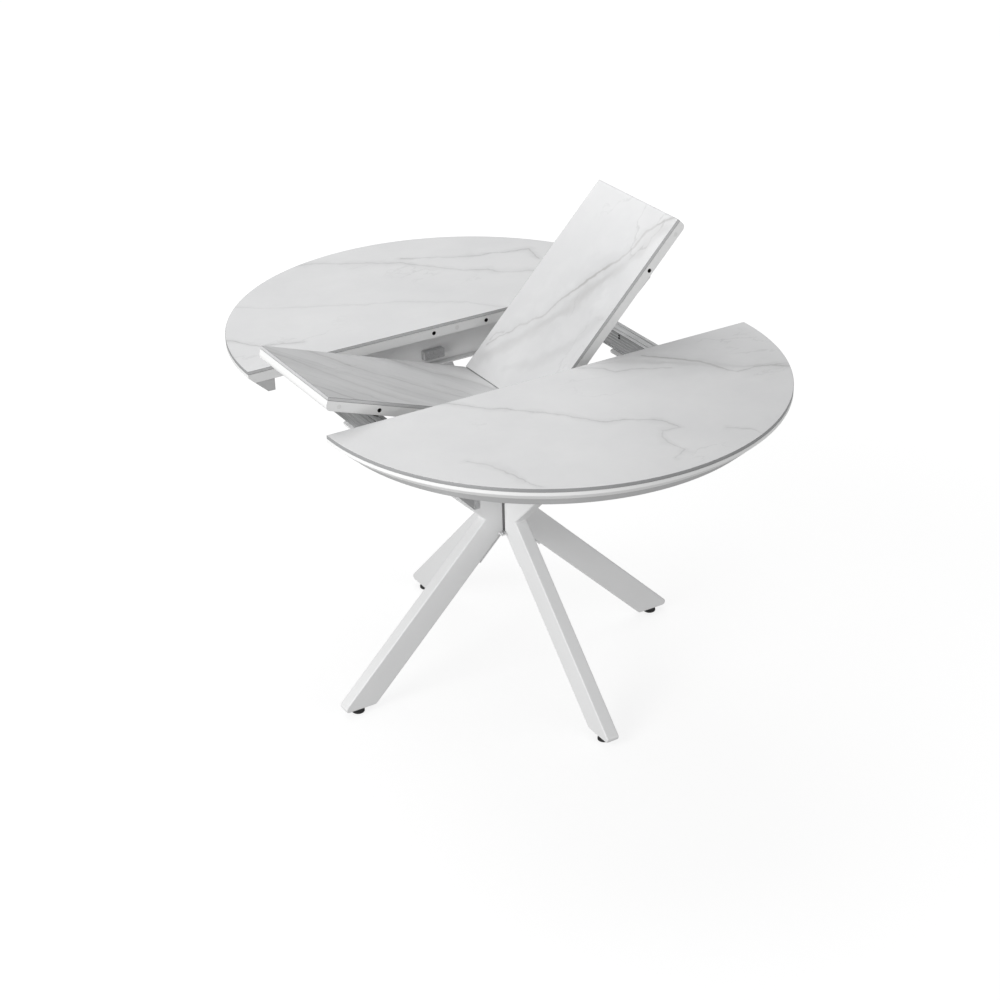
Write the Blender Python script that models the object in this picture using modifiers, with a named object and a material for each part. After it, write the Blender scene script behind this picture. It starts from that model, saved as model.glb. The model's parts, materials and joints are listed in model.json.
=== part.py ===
"""Round dining table that pulls apart over a folding butterfly leaf.

Metres, +Z up, origin on the floor under the hub. X runs along the split
between the two half tops, Y is the way they pull apart: near is -Y, far is +Y.
The tops stand fully open and the leaf is half unfolded, as a V.
"""
from math import asin, atan2, cos, pi, radians, sin, tan

import bmesh
import bpy
from mathutils import Matrix, Vector

# Driving dimensions
TABLE_HEIGHT = 0.770
TOP_RADIUS = 0.500
OPEN_GAP = 0.350            # between the split edges, tops fully apart
LEAF_WIDTH = 0.296
TOP_THICKNESS = 0.028       # stone slab and board together
STONE_THICKNESS = 0.007
LEAF_TILT = radians(19.25)  # left panel, fold side down
LEAF_FOLD = radians(65.05)  # right panel, up from the left panel's plane
PIVOT_FROM_CENTRE = 0.300   # the left panel's rod, on -X
PIVOT_ROD_RADIUS = 0.0040
PIVOT_BORE = 0.0043
GAP = 0.0003                # between pieces that touch

# Top edge and skirt
EDGE_HEIGHT = 0.0145        # upright part of the rim, stone and board
SKIRT_DEPTH = 0.054         # bottom of the skirt, below the table top
SKIRT_SLOPE = 1.08          # inward run for each unit of drop
SKIRT_LIP = 0.016
TOP_SEGMENTS = 96           # a full turn

# Locating dowels between leaf and tops
DOWEL_RADIUS = 0.0040
DOWEL_HOLE_RADIUS = 0.0044
DOWEL_REACH = 0.009
DOWEL_ROOT = 0.012
DOWEL_HOLE_DEPTH = 0.014
NEAR_DOWEL_X = 0.380
FAR_DOWEL_X = 0.065

# Fold hinge: a piano hinge with its pin just under the top surface
KNUCKLE_RADIUS = 0.0020
HINGE_BORE = 0.00125
HINGE_PIN_RADIUS = 0.00085
HINGE_DEPTH = 0.020
HINGE_LENGTH = 0.290
KNUCKLES = 5
KNUCKLE_CLEARANCE = 0.0005
FOLD_EDGE = KNUCKLE_RADIUS + GAP

# Under the leaf
BUMPER_RADIUS = 0.006
BUMPER_HEIGHT = 0.004
BUMPER_INSET = 0.010
FOOT_BAR_WIDTH = 0.020
FOOT_BAR_LENGTH = 0.220
LUG_RADIUS = 0.0065         # lugs that turn on the rod
LUG_WIDTH = 0.012
LUG_Y = 0.112
HANGER_STRIP = 0.0012
ROD_BRACKET_Y = 0.128       # fixed brackets that hold the rod
ROD_BRACKET_WIDTH = 0.010
ROD_BRACKET_RADIUS = 0.0064
ROD_BRACKET_EDGE = 0.005
ROD_BRACKET_CORNER = 0.004

# Slide rails: two slots side by side, the near top's runner in the inner one
RAIL_X = 0.332
RAIL_WIDTH = 0.036
RAIL_WALL = 0.003
RAIL_BOTTOM = 0.672
RAIL_TOP = 0.714
RAIL_LENGTH = 0.680
RUNNER_INNER_END = 0.020
RUNNER_OUTER_END = 0.440
RUNNER_STEP = OPEN_GAP / 2 + 0.005

# Cross members of the underframe
BEAM_Y = 0.203
BEAM_DEPTH = 0.018
BEAM_TOP = 0.7375
BEAM_BOTTOM = 0.661
SHEET = 0.003
PAD_INSET = 0.003           # slide pads on the top flanges
PAD_REACH = 0.100
CATCH_X = (-0.075, -0.025)  # block that stops the leaf, in the far channel
CATCH_Z = (0.678, 0.698)
BEARER_WIDTH = 0.036
BEARER_HEIGHT = 0.030

# Legs: four bent rectangular tubes, back to back at the hub
ELBOW_HEIGHT = 0.382
ELBOW_RADIUS = 0.062        # outer corner of the bend
TUBE_DEPTH = 0.060
TUBE_WIDTH = 0.030
TUBE_WALL = 0.002
TUBE_ROUNDING = 0.0025
FOOT_HEIGHT = 0.012
FOOT_ROUNDING = 0.008
GLIDE_RADIUS = 0.014
GLIDE_FROM_CENTRE = 0.385
ARM_PLATE = 0.004
ARM_PLATE_REACH = (0.300, 0.358)
ARM_PLATE_WIDTH = 0.095
ARM_PLATE_SUNK = 0.001      # how far a plate bites into its tube

# Hub
POST_WIDTH = 0.033
POST_PLAY = 0.0007          # between the post and a bracket's edges
BRACKET_SHEET = 0.0030
BRACKET_REACH = 0.078
BRACKET_WIDTH = 0.028
CORNER_PLATE = 0.030
CORNER_PLATE_SHEET = 0.0025
CORNER_NOTCH = TUBE_WIDTH / 2 + GAP
BOLT_RADIUS = 0.003
BOLT_LENGTH = 0.0115
BOLT_HEAD = 0.0035
BOLT_FROM_CENTRE = 0.052
SCREW_FROM_CENTRE = 0.0235

STONE_TOP = TABLE_HEIGHT
BOARD_TOP = TABLE_HEIGHT - STONE_THICKNESS - GAP
BOARD_BOTTOM = TABLE_HEIGHT - TOP_THICKNESS
UNDER_BOARD = BOARD_BOTTOM - GAP
DOWEL_Z = (BOARD_TOP + BOARD_BOTTOM) / 2
HALF_LEAF = LEAF_WIDTH / 2
PIVOT = Vector((-PIVOT_FROM_CENTRE, 0, TABLE_HEIGHT - 0.035))
HINGE = Vector((0, 0, TABLE_HEIGHT - KNUCKLE_RADIUS))

OBJECT_NAME = "extending_dining_table"
UPRIGHT_XZ = (pi / 2, 0, 0)       # an outline drawn in XY stands in XZ
UPRIGHT_YZ = (pi / 2, 0, pi / 2)  # the same, standing in YZ

for old in list(bpy.data.objects):
    bpy.data.objects.remove(old, do_unlink=True)

parts = bpy.data.collections.new(OBJECT_NAME)
cutters = bpy.data.collections.new("cutters")
bpy.context.scene.collection.children.link(parts)
bpy.context.scene.collection.children.link(cutters)

homes = {}


def material(name, colour, roughness, metallic=0.0):
    """A plain Principled material."""
    made = bpy.data.materials.new(name)
    made.use_nodes = True
    shader = made.node_tree.nodes["Principled BSDF"]
    shader.inputs["Base Color"].default_value = (*colour, 1)
    shader.inputs["Roughness"].default_value = roughness
    shader.inputs["Metallic"].default_value = metallic
    made.diffuse_color = (*colour, 1)
    return made


STONE = material("sintered_stone", (0.86, 0.86, 0.86), 0.35)
LACQUER = material("white_lacquer", (0.82, 0.82, 0.82), 0.40)
COATED = material("white_powder_coat", (0.84, 0.84, 0.84), 0.45)
ALUMINIUM = material("anodised_aluminium", (0.62, 0.63, 0.64), 0.35, 1.0)
STEEL = material("zinc_steel", (0.55, 0.55, 0.56), 0.40, 1.0)
BLACK_PLASTIC = material("black_plastic", (0.02, 0.02, 0.02), 0.50)
WHITE_PLASTIC = material("white_plastic", (0.78, 0.78, 0.76), 0.45)
BLACK_STEEL = material("blackened_steel", (0.05, 0.05, 0.05), 0.50, 0.6)
DOWEL_WOOD = material("beech_dowel", (0.72, 0.55, 0.36), 0.60)


def frame(name, origin, parent=None, tilt=0.0):
    """An empty at a joint, turned about Y; its pieces are drawn level."""
    empty = bpy.data.objects.new(name, None)
    parts.objects.link(empty)
    empty.parent = parent
    empty.location = Vector(origin) - (homes[parent.name] if parent else Vector())
    empty.rotation_euler = (0, tilt, 0)
    homes[name] = Vector(origin)
    return empty


def place(name, mesh, finish, parent, location=(0, 0, 0), rotation=(0, 0, 0)):
    """A piece in the parts collection, at a level place under its frame."""
    piece = bpy.data.objects.new(name, mesh)
    parts.objects.link(piece)
    piece.parent = parent
    piece.location = Vector(location) - (homes[parent.name] if parent else Vector())
    piece.rotation_euler = rotation
    if finish and not mesh.materials:
        mesh.materials.append(finish)
    return piece


def box_mesh(name, size):
    mesh = bpy.data.meshes.new(name)
    shape = bmesh.new()
    bmesh.ops.create_cube(shape, size=1)
    bmesh.ops.scale(shape, vec=size, verts=shape.verts)
    shape.to_mesh(mesh)
    shape.free()
    return mesh


def box(name, corner, opposite, finish, parent=None):
    """A box between two opposite corners."""
    corner, opposite = Vector(corner), Vector(opposite)
    size = [abs(length) for length in opposite - corner]
    return place(name, box_mesh(name, size), finish, parent, (corner + opposite) / 2)


def rod_mesh(name, start, end, radius, sides):
    """A cylinder between two points, about the first one's place."""
    mesh = bpy.data.meshes.new(name)
    along = Vector(end) - Vector(start)
    turn = along.to_track_quat("Z", "Y").to_matrix().to_4x4()
    shift = Matrix.Translation(along / 2)
    shape = bmesh.new()
    bmesh.ops.create_cone(shape, cap_ends=True, segments=sides, radius1=radius,
                          radius2=radius, depth=along.length, matrix=shift @ turn)
    shape.to_mesh(mesh)
    shape.free()
    mesh.shade_smooth()
    mesh.set_sharp_from_angle(angle=radians(40))
    return mesh


def rod(name, start, end, radius, finish, parent=None, sides=20):
    return place(name, rod_mesh(name, start, end, radius, sides), finish, parent, start)


def outline_mesh(name, loops, depth):
    """A flat outline with holes, extruded evenly to both sides."""
    curve = bpy.data.curves.new(name, "CURVE")
    curve.dimensions = "2D"
    curve.fill_mode = "BOTH"
    curve.extrude = depth / 2
    for loop in loops:
        spline = curve.splines.new("POLY")
        spline.points.add(len(loop) - 1)
        for point, (x, y) in zip(spline.points, loop):
            point.co = (x, y, 0, 1)
        spline.use_cyclic_u = True
    guide = bpy.data.objects.new(name + "_guide", curve)
    parts.objects.link(guide)
    bpy.context.view_layer.update()
    drawn = guide.evaluated_get(bpy.context.evaluated_depsgraph_get())
    mesh = bpy.data.meshes.new_from_object(drawn)
    bpy.data.objects.remove(guide, do_unlink=True)
    shape = bmesh.new()
    shape.from_mesh(mesh)
    bmesh.ops.remove_doubles(shape, verts=shape.verts, dist=1e-6)
    bmesh.ops.dissolve_limit(shape, angle_limit=radians(0.5), verts=shape.verts,
                             edges=shape.edges)
    shape.to_mesh(mesh)
    shape.free()
    mesh.name = name
    return mesh


def arc(centre_x, centre_y, radius, start, end, steps):
    """Points on an arc, both ends included."""
    turns = [start + (end - start) * i / steps for i in range(steps + 1)]
    return [(centre_x + radius * cos(a), centre_y + radius * sin(a)) for a in turns]


def circle(centre_x, centre_y, radius, sides=20):
    return arc(centre_x, centre_y, radius, 0, 2 * pi * (1 - 1 / sides), sides - 1)


def turned_mesh(name, profile, closed, steps):
    """A profile of (radius, z) points turned about Z."""
    line = bpy.data.meshes.new(name)
    count = len(profile)
    edges = [(i, i + 1) for i in range(count - 1)]
    if closed:
        edges.append((count - 1, 0))
    line.from_pydata([(radius, 0, z) for radius, z in profile], edges, [])
    guide = bpy.data.objects.new(name + "_guide", line)
    parts.objects.link(guide)
    screw = guide.modifiers.new("turn", "SCREW")
    screw.steps = steps
    screw.render_steps = steps
    screw.use_merge_vertices = True
    screw.merge_threshold = 0.00001
    return settle(guide, name)


def settle(guide, name):
    """The guide's shape with its modifiers applied; the guide goes."""
    bpy.context.view_layer.update()
    drawn = guide.evaluated_get(bpy.context.evaluated_depsgraph_get())
    mesh = bpy.data.meshes.new_from_object(drawn)
    mesh.name = name
    bpy.data.objects.remove(guide, do_unlink=True)
    return mesh


def hide(cutter):
    """Move a shape to the cutters."""
    parts.objects.unlink(cutter)
    cutters.objects.link(cutter)
    cutter.hide_render = True
    cutter.display_type = "WIRE"


def combine(piece, other, operation="DIFFERENCE"):
    """Cut or join a piece with another shape, which becomes a cutter."""
    modifier = piece.modifiers.new(operation.lower(), "BOOLEAN")
    modifier.operation = operation
    modifier.solver = "EXACT"
    modifier.object = other
    hide(other)


def skirt_radius(z):
    """Outer radius of the sloping rim at a height below its upright part."""
    return TOP_RADIUS - SKIRT_SLOPE * (TABLE_HEIGHT - EDGE_HEIGHT - z)


def half_top(name, sign):
    """One half of the top: slab, board and skirt, cut along the split."""
    home = frame(name, (0, sign * OPEN_GAP / 2, 0))
    rim = TABLE_HEIGHT - EDGE_HEIGHT
    skirt_bottom = TABLE_HEIGHT - SKIRT_DEPTH
    skirt_top = UNDER_BOARD
    lip_outer = skirt_radius(skirt_bottom)
    lip_inner = lip_outer - SKIRT_LIP
    slab = [(0, STONE_TOP), (TOP_RADIUS, STONE_TOP), (TOP_RADIUS, BOARD_TOP + GAP),
            (0, BOARD_TOP + GAP)]
    board = [(0, BOARD_TOP), (TOP_RADIUS, BOARD_TOP), (TOP_RADIUS, rim),
             (skirt_radius(BOARD_BOTTOM), BOARD_BOTTOM), (0, BOARD_BOTTOM)]
    skirt = [(skirt_radius(skirt_top), skirt_top), (lip_outer, skirt_bottom),
             (lip_inner, skirt_bottom), (lip_inner, skirt_top)]
    rows = (("stone", slab, False, STONE), ("board", board, False, LACQUER),
            ("apron", skirt, True, LACQUER))
    pieces = {}
    for label, profile, closed, finish in rows:
        mesh = turned_mesh(f"{name}_{label}", profile, closed, TOP_SEGMENTS)
        piece = place(f"{name}_{label}", mesh, finish, home, homes[home.name])
        reach = 1.2 * TOP_RADIUS
        other_half = box(f"{name}_{label}_cut", (-reach, sign * OPEN_GAP / 2, 0),
                         (reach, sign * (OPEN_GAP / 2 - reach), 1), None, home)
        combine(piece, other_half)
        pieces[label] = piece
    hole_x = NEAR_DOWEL_X if sign < 0 else FAR_DOWEL_X
    for side, x in (("left", -hole_x), ("right", hole_x)):
        depth = DOWEL_ROOT + GAP if sign < 0 else DOWEL_HOLE_DEPTH
        edge = sign * OPEN_GAP / 2
        bore = rod(f"{name}_{side}_bore", (x, edge + sign * depth, DOWEL_Z),
                   (x, edge - sign * 0.01, DOWEL_Z), DOWEL_HOLE_RADIUS, None, home)
        combine(pieces["board"], bore)
    return home


def top_runners(home, name, sign, slot):
    """The pair of runners under a half top, one slot of each rail each."""
    slot_width = (RAIL_WIDTH - 3 * RAIL_WALL) / 2
    centre = RAIL_X + slot * (RAIL_WALL + slot_width) / 2
    floor = RAIL_BOTTOM + RAIL_WALL + GAP
    side_view = [(RUNNER_INNER_END, floor), (RUNNER_OUTER_END, floor),
                 (RUNNER_OUTER_END, UNDER_BOARD), (RUNNER_STEP, UNDER_BOARD),
                 (RUNNER_STEP, RAIL_TOP - GAP), (RUNNER_INNER_END, RAIL_TOP - GAP)]
    loop = [(sign * y, z) for y, z in side_view]
    for side, x in (("left", -centre), ("right", centre)):
        mesh = outline_mesh(f"{name}_runner_{side}", [loop], slot_width - 2 * GAP)
        place(f"{name}_runner_{side}", mesh, ALUMINIUM, home, (x, 0, 0), UPRIGHT_YZ)


def near_dowels(home):
    """Dowels in the near half's split edge."""
    edge = -OPEN_GAP / 2
    for side, x in (("left", -NEAR_DOWEL_X), ("right", NEAR_DOWEL_X)):
        rod(f"near_dowel_{side}", (x, edge - DOWEL_ROOT, DOWEL_Z),
            (x, edge + DOWEL_REACH, DOWEL_Z), DOWEL_RADIUS, DOWEL_WOOD, home)


def leaf_panel(side, home, direction):
    """Slab and board of one leaf panel, with its dowel and dowel hole."""
    inner, outer = direction * FOLD_EDGE, direction * TOP_RADIUS
    low_x, high_x = min(inner, outer), max(inner, outer)
    box(f"leaf_stone_{side}", (low_x, -HALF_LEAF, BOARD_TOP + GAP),
        (high_x, HALF_LEAF, STONE_TOP), STONE, home)
    board = box(f"leaf_board_{side}", (low_x, -HALF_LEAF, BOARD_BOTTOM),
                (high_x, HALF_LEAF, BOARD_TOP), LACQUER, home)
    near_x, far_x = direction * NEAR_DOWEL_X, direction * FAR_DOWEL_X
    near_bore = rod(f"leaf_{side}_near_bore", (near_x, -HALF_LEAF - 0.01, DOWEL_Z),
                    (near_x, -HALF_LEAF + DOWEL_HOLE_DEPTH, DOWEL_Z),
                    DOWEL_HOLE_RADIUS, None, home)
    combine(board, near_bore)
    far_bore = rod(f"leaf_{side}_far_bore", (far_x, HALF_LEAF + 0.01, DOWEL_Z),
                   (far_x, HALF_LEAF - DOWEL_ROOT - GAP, DOWEL_Z),
                   DOWEL_HOLE_RADIUS, None, home)
    combine(board, far_bore)
    rod(f"leaf_dowel_{side}", (far_x, HALF_LEAF - DOWEL_ROOT, DOWEL_Z),
        (far_x, HALF_LEAF + DOWEL_REACH, DOWEL_Z), DOWEL_RADIUS, DOWEL_WOOD, home)


def hinge_leaf(side, home, direction):
    """Half of the piano hinge: a strip with every second knuckle."""
    strip_edge = asin(HINGE_BORE / KNUCKLE_RADIUS)
    around = arc(0, 0, KNUCKLE_RADIUS, pi, -pi / 2 - strip_edge, 14)
    loop = [(-KNUCKLE_RADIUS, -HINGE_DEPTH)] + around + [(-HINGE_BORE, -HINGE_DEPTH)]
    loops = [loop, circle(0, 0, HINGE_BORE, 14)]
    loops = [[(-direction * x, z) for x, z in points] for points in loops]
    strip = place(f"hinge_leaf_{side}", outline_mesh(f"hinge_leaf_{side}", loops, HINGE_LENGTH),
                  STEEL, home, HINGE, UPRIGHT_XZ)
    pitch = HINGE_LENGTH / KNUCKLES
    reach = KNUCKLE_RADIUS + KNUCKLE_CLEARANCE
    first = 1 if direction < 0 else 0
    for i in range(first, KNUCKLES, 2):
        start = i * pitch - HINGE_LENGTH / 2 - KNUCKLE_CLEARANCE
        end = start + pitch + 2 * KNUCKLE_CLEARANCE
        notch = box(f"hinge_{side}_notch_{i}", (-reach, start, HINGE.z - reach),
                    (reach, end, HINGE.z + reach), None, home)
        combine(strip, notch)


def pivot_hanger(home):
    """Strip under the left panel with a lug at each end that turns on the rod."""
    top = UNDER_BOARD - PIVOT.z
    loop = arc(0, 0, LUG_RADIUS, pi, 2 * pi, 10) + [(LUG_RADIUS, top), (-LUG_RADIUS, top)]
    mesh = outline_mesh("leaf_pivot_hanger", [loop, circle(0, 0, PIVOT_BORE)],
                        2 * LUG_Y + LUG_WIDTH)
    hanger = place("leaf_pivot_hanger", mesh, STEEL, home, PIVOT, UPRIGHT_XZ)
    clear_x, clear_y = 2 * LUG_RADIUS, LUG_Y - LUG_WIDTH / 2
    between = box("hanger_gap", (PIVOT.x - clear_x, -clear_y, PIVOT.z - clear_x),
                  (PIVOT.x + clear_x, clear_y, UNDER_BOARD - HANGER_STRIP), None, home)
    combine(hanger, between)


def leaf():
    """Both leaf panels on their frames: the rod's and the fold's."""
    left = frame("leaf_left", PIVOT, None, LEAF_TILT)
    right = frame("leaf_right", HINGE, left, -LEAF_FOLD)
    for side, home, direction in (("left", left, -1), ("right", right, 1)):
        leaf_panel(side, home, direction)
        hinge_leaf(side, home, direction)
    half_length = HINGE_LENGTH / 2
    rod("hinge_pin", (0, -half_length, HINGE.z), (0, half_length, HINGE.z),
        HINGE_PIN_RADIUS, STEEL, left, 14)
    pivot_hanger(left)
    for label, sign in (("near", -1), ("far", 1)):
        y = sign * (HALF_LEAF - BUMPER_INSET)
        rod(f"leaf_bumper_{label}", (-NEAR_DOWEL_X, y, UNDER_BOARD - BUMPER_HEIGHT),
            (-NEAR_DOWEL_X, y, UNDER_BOARD), BUMPER_RADIUS, BLACK_PLASTIC, left)
    half_width, half_bar = FOOT_BAR_WIDTH / 2, FOOT_BAR_LENGTH / 2
    box("leaf_foot_bar", (RAIL_X - half_width, -half_bar, RAIL_TOP + GAP),
        (RAIL_X + half_width, half_bar, UNDER_BOARD), BLACK_PLASTIC, right)


def pivot_rod():
    """The fixed rod and the two brackets that hold it over the left rail."""
    end = ROD_BRACKET_Y + ROD_BRACKET_WIDTH
    rod("pivot_rod", (PIVOT.x, -end, PIVOT.z), (PIVOT.x, end, PIVOT.z), PIVOT_ROD_RADIUS, STEEL)
    foot = RAIL_TOP + GAP - PIVOT.z
    outer = -RAIL_X - RAIL_WIDTH / 2 - PIVOT.x
    edge = foot + ROD_BRACKET_EDGE
    loop = [(outer, foot), (ROD_BRACKET_RADIUS, foot)]
    loop += arc(0, 0, ROD_BRACKET_RADIUS, 0, 3 * pi / 4, 9)
    loop += [(outer + ROD_BRACKET_CORNER, edge), (outer, edge)]
    for label, y in (("near", -ROD_BRACKET_Y), ("far", ROD_BRACKET_Y)):
        mesh = outline_mesh(f"pivot_bracket_{label}", [loop, circle(0, 0, PIVOT_BORE)],
                            ROD_BRACKET_WIDTH)
        place(f"pivot_bracket_{label}", mesh, STEEL, None, (PIVOT.x, y, PIVOT.z), UPRIGHT_XZ)


def slide_rails():
    """Two fixed rails, each with an inner and an outer slot."""
    half, height = RAIL_WIDTH / 2, RAIL_TOP - RAIL_BOTTOM
    slot = (RAIL_WIDTH - 3 * RAIL_WALL) / 2
    rib = RAIL_WALL / 2
    right_half = [(rib, height), (rib, RAIL_WALL), (rib + slot, RAIL_WALL), (rib + slot, height),
                  (half, height), (half, 0)]
    loop = right_half + [(-x, z) for x, z in reversed(right_half)]
    for side, x in (("left", -RAIL_X), ("right", RAIL_X)):
        mesh = outline_mesh(f"rail_{side}", [loop], RAIL_LENGTH)
        place(f"rail_{side}", mesh, ALUMINIUM, None, (x, 0, RAIL_BOTTOM), UPRIGHT_XZ)


def cross_members():
    """Channels beside the leaf well, and tubes that tie the rails together."""
    reach = RAIL_X - RAIL_WIDTH / 2 - GAP
    outer = BEAM_Y + BEAM_DEPTH
    channel = [(BEAM_Y, BEAM_BOTTOM), (outer, BEAM_BOTTOM), (outer, BEAM_TOP),
               (BEAM_Y, BEAM_TOP), (BEAM_Y, BEAM_TOP - SHEET),
               (outer - SHEET, BEAM_TOP - SHEET), (outer - SHEET, BEAM_BOTTOM + SHEET),
               (BEAM_Y, BEAM_BOTTOM + SHEET)]
    wide, high = BEARER_WIDTH / 2, BEARER_HEIGHT / 2
    tube = [[(-wide, -high), (wide, -high), (wide, high), (-wide, high)],
            [(TUBE_WALL - wide, TUBE_WALL - high), (wide - TUBE_WALL, TUBE_WALL - high),
             (wide - TUBE_WALL, high - TUBE_WALL), (TUBE_WALL - wide, high - TUBE_WALL)]]
    bearer_y = RAIL_LENGTH / 2 - wide
    for label, sign in (("near", -1), ("far", 1)):
        mesh = outline_mesh(f"beam_{label}", [[(sign * y, z) for y, z in channel]], 2 * reach)
        place(f"beam_{label}", mesh, COATED, None, (0, 0, 0), UPRIGHT_YZ)
        mesh = outline_mesh(f"bearer_{label}", tube, 2 * reach)
        place(f"bearer_{label}", mesh, COATED, None,
              (0, sign * bearer_y, RAIL_BOTTOM + high), UPRIGHT_YZ)
        box(f"slide_pad_{label}", (-PAD_REACH, sign * (BEAM_Y + PAD_INSET), BEAM_TOP + GAP),
            (PAD_REACH, sign * (outer - PAD_INSET), UNDER_BOARD), WHITE_PLASTIC)
    box("leaf_catch", (CATCH_X[0], BEAM_Y + GAP, CATCH_Z[0]),
        (CATCH_X[1], outer - SHEET - GAP, CATCH_Z[1]), STEEL)


def bolt_frame():
    """Where the hub bolt in the +X leg starts, and its way into the leg."""
    outer_face = ELBOW_RADIUS + ELBOW_HEIGHT - TUBE_DEPTH / sin(pi / 4)
    bracket_face = outer_face - (GAP + BRACKET_SHEET) / sin(pi / 4)
    start = Vector((BOLT_FROM_CENTRE, 0, bracket_face - BOLT_FROM_CENTRE))
    return start, Vector((1, 0, 1)).normalized()


def leg_outline():
    """Lower half of a bent leg, in radius and height, foot corners rounded."""
    outer_sum = ELBOW_RADIUS + ELBOW_HEIGHT
    inner_sum = outer_sum - TUBE_DEPTH / sin(pi / 4)
    hub_face = POST_WIDTH / 2 + GAP
    mitre = ELBOW_HEIGHT - GAP / 2
    top = [(hub_face, mitre), (hub_face, inner_sum - hub_face)]
    tangent = FOOT_ROUNDING * tan(3 * pi / 8)
    inner_x = inner_sum - FOOT_HEIGHT + FOOT_ROUNDING * tan(pi / 8)
    outer_x = outer_sum - FOOT_HEIGHT - tangent
    centre_y = FOOT_HEIGHT + FOOT_ROUNDING
    foot = arc(inner_x, centre_y, FOOT_ROUNDING, 5 * pi / 4, 3 * pi / 2, 3)
    foot += arc(outer_x, centre_y, FOOT_ROUNDING, -pi / 2, pi / 4, 6)
    return top + foot + [(outer_sum - mitre, mitre)]


def shrink(loop, inset):
    """A convex outline moved in by the inset on every side."""
    count = len(loop)
    area = sum(loop[i - 1][0] * loop[i][1] - loop[i][0] * loop[i - 1][1] for i in range(count))
    lines = []
    for i in range(count):
        start, end = Vector(loop[i - 1]), Vector(loop[i])
        along = (end - start).normalized()
        inward = Vector((-along.y, along.x)) * (1 if area > 0 else -1)
        lines.append((start + inward * inset, along))
    moved = []
    for i in range(count):
        (one, first), (two, second) = lines[i], lines[(i + 1) % count]
        cross = first.x * second.y - first.y * second.x
        distance = ((two - one).x * second.y - (two - one).y * second.x) / cross
        moved.append(tuple(one + first * distance))
    return moved


def hollow_tube(name, loop, open_side, extra=None):
    """A tube of the outline, hollow, rounded on its long edges, one end open."""
    guide = bpy.data.objects.new(name, outline_mesh(name, [loop], TUBE_WIDTH))
    parts.objects.link(guide)
    mitre = loop[0][1]
    weights = guide.data.attributes.new("bevel_weight_edge", "FLOAT", "EDGE")
    for edge in guide.data.edges:
        ends = [guide.data.vertices[i].co for i in edge.vertices]
        at_joint = all(abs(end.y - mitre) < 1e-5 for end in ends)
        long_edge = abs(ends[0].z - ends[1].z) < 1e-6
        weights.data[edge.index].value = 1.0 if long_edge and not at_joint else 0.0
    bevel = guide.modifiers.new("long_edges", "BEVEL")
    bevel.limit_method = "WEIGHT"
    bevel.width = TUBE_ROUNDING
    bevel.segments = 2
    if extra:
        combine(guide, extra, "UNION")
    inside = shrink(loop, TUBE_WALL)
    inside = [(x, y + open_side * 0.01) if abs(y - mitre) < 1.5 * TUBE_WALL else (x, y)
              for x, y in inside]
    mesh = outline_mesh(name + "_hollow", [inside], TUBE_WIDTH - 2 * TUBE_WALL)
    hollow = bpy.data.objects.new(name + "_hollow", mesh)
    parts.objects.link(hollow)
    combine(guide, hollow)
    return guide


def legs():
    """Four lower legs and four upper arms, mirrored about the elbow."""
    lower = leg_outline()
    start, way = bolt_frame()
    lower_guide = hollow_tube("lower_leg", lower, 1)
    bolt_hole = rod("lower_leg_hole", start, start + way * (BOLT_LENGTH + GAP),
                    BOLT_RADIUS + GAP, None)
    bolt_hole.rotation_euler = (-pi / 2, 0, 0)
    bolt_hole.location = (start.x, start.z, 0)
    combine(lower_guide, bolt_hole)
    lower_mesh = settle(lower_guide, "lower_leg")

    arm_top = RAIL_BOTTOM - GAP
    arm_end = arm_top - ARM_PLATE
    rise = arm_end - ELBOW_HEIGHT
    hub_face = POST_WIDTH / 2 + GAP
    inner_line = ELBOW_HEIGHT - ELBOW_RADIUS + TUBE_DEPTH / sin(pi / 4)
    mitre = ELBOW_HEIGHT + GAP / 2
    upper = [(hub_face, mitre), (ELBOW_RADIUS + GAP / 2, mitre),
             (ELBOW_RADIUS + rise, arm_end), (arm_end - inner_line, arm_end),
             (hub_face, inner_line + hub_face)]
    plate_low, plate_high = ARM_PLATE_REACH
    plate_depth = ARM_PLATE + ARM_PLATE_SUNK
    plate_mesh = box_mesh("arm_plate", (plate_high - plate_low, plate_depth, ARM_PLATE_WIDTH))
    plate = bpy.data.objects.new("arm_plate", plate_mesh)
    parts.objects.link(plate)
    plate.location = ((plate_low + plate_high) / 2, arm_top - plate_depth / 2, 0)
    upper_mesh = settle(hollow_tube("upper_arm", upper, -1, plate), "upper_arm")

    glide_profile = [(0, FOOT_HEIGHT - GAP), (GLIDE_RADIUS * 0.75, FOOT_HEIGHT - GAP),
                     (GLIDE_RADIUS * 0.80, 0.006), (GLIDE_RADIUS, 0.005),
                     (GLIDE_RADIUS, 0.0012), (GLIDE_RADIUS - 0.0015, 0), (0, 0)]
    glide_mesh = turned_mesh("glide", glide_profile, False, 24)
    glide_mesh.shade_smooth()
    glide_mesh.set_sharp_from_angle(angle=radians(40))
    for name, turn in (("right", 0), ("far", pi / 2), ("left", pi), ("near", -pi / 2)):
        upright = (pi / 2, 0, turn)
        place(f"lower_leg_{name}", lower_mesh, COATED, None, (0, 0, 0), upright)
        place(f"upper_arm_{name}", upper_mesh, COATED, None, (0, 0, 0), upright)
        spot = Vector((GLIDE_FROM_CENTRE, 0, 0))
        spot.rotate(Matrix.Rotation(turn, 3, "Z"))
        place(f"glide_{name}", glide_mesh, BLACK_PLASTIC, None, spot)


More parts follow.
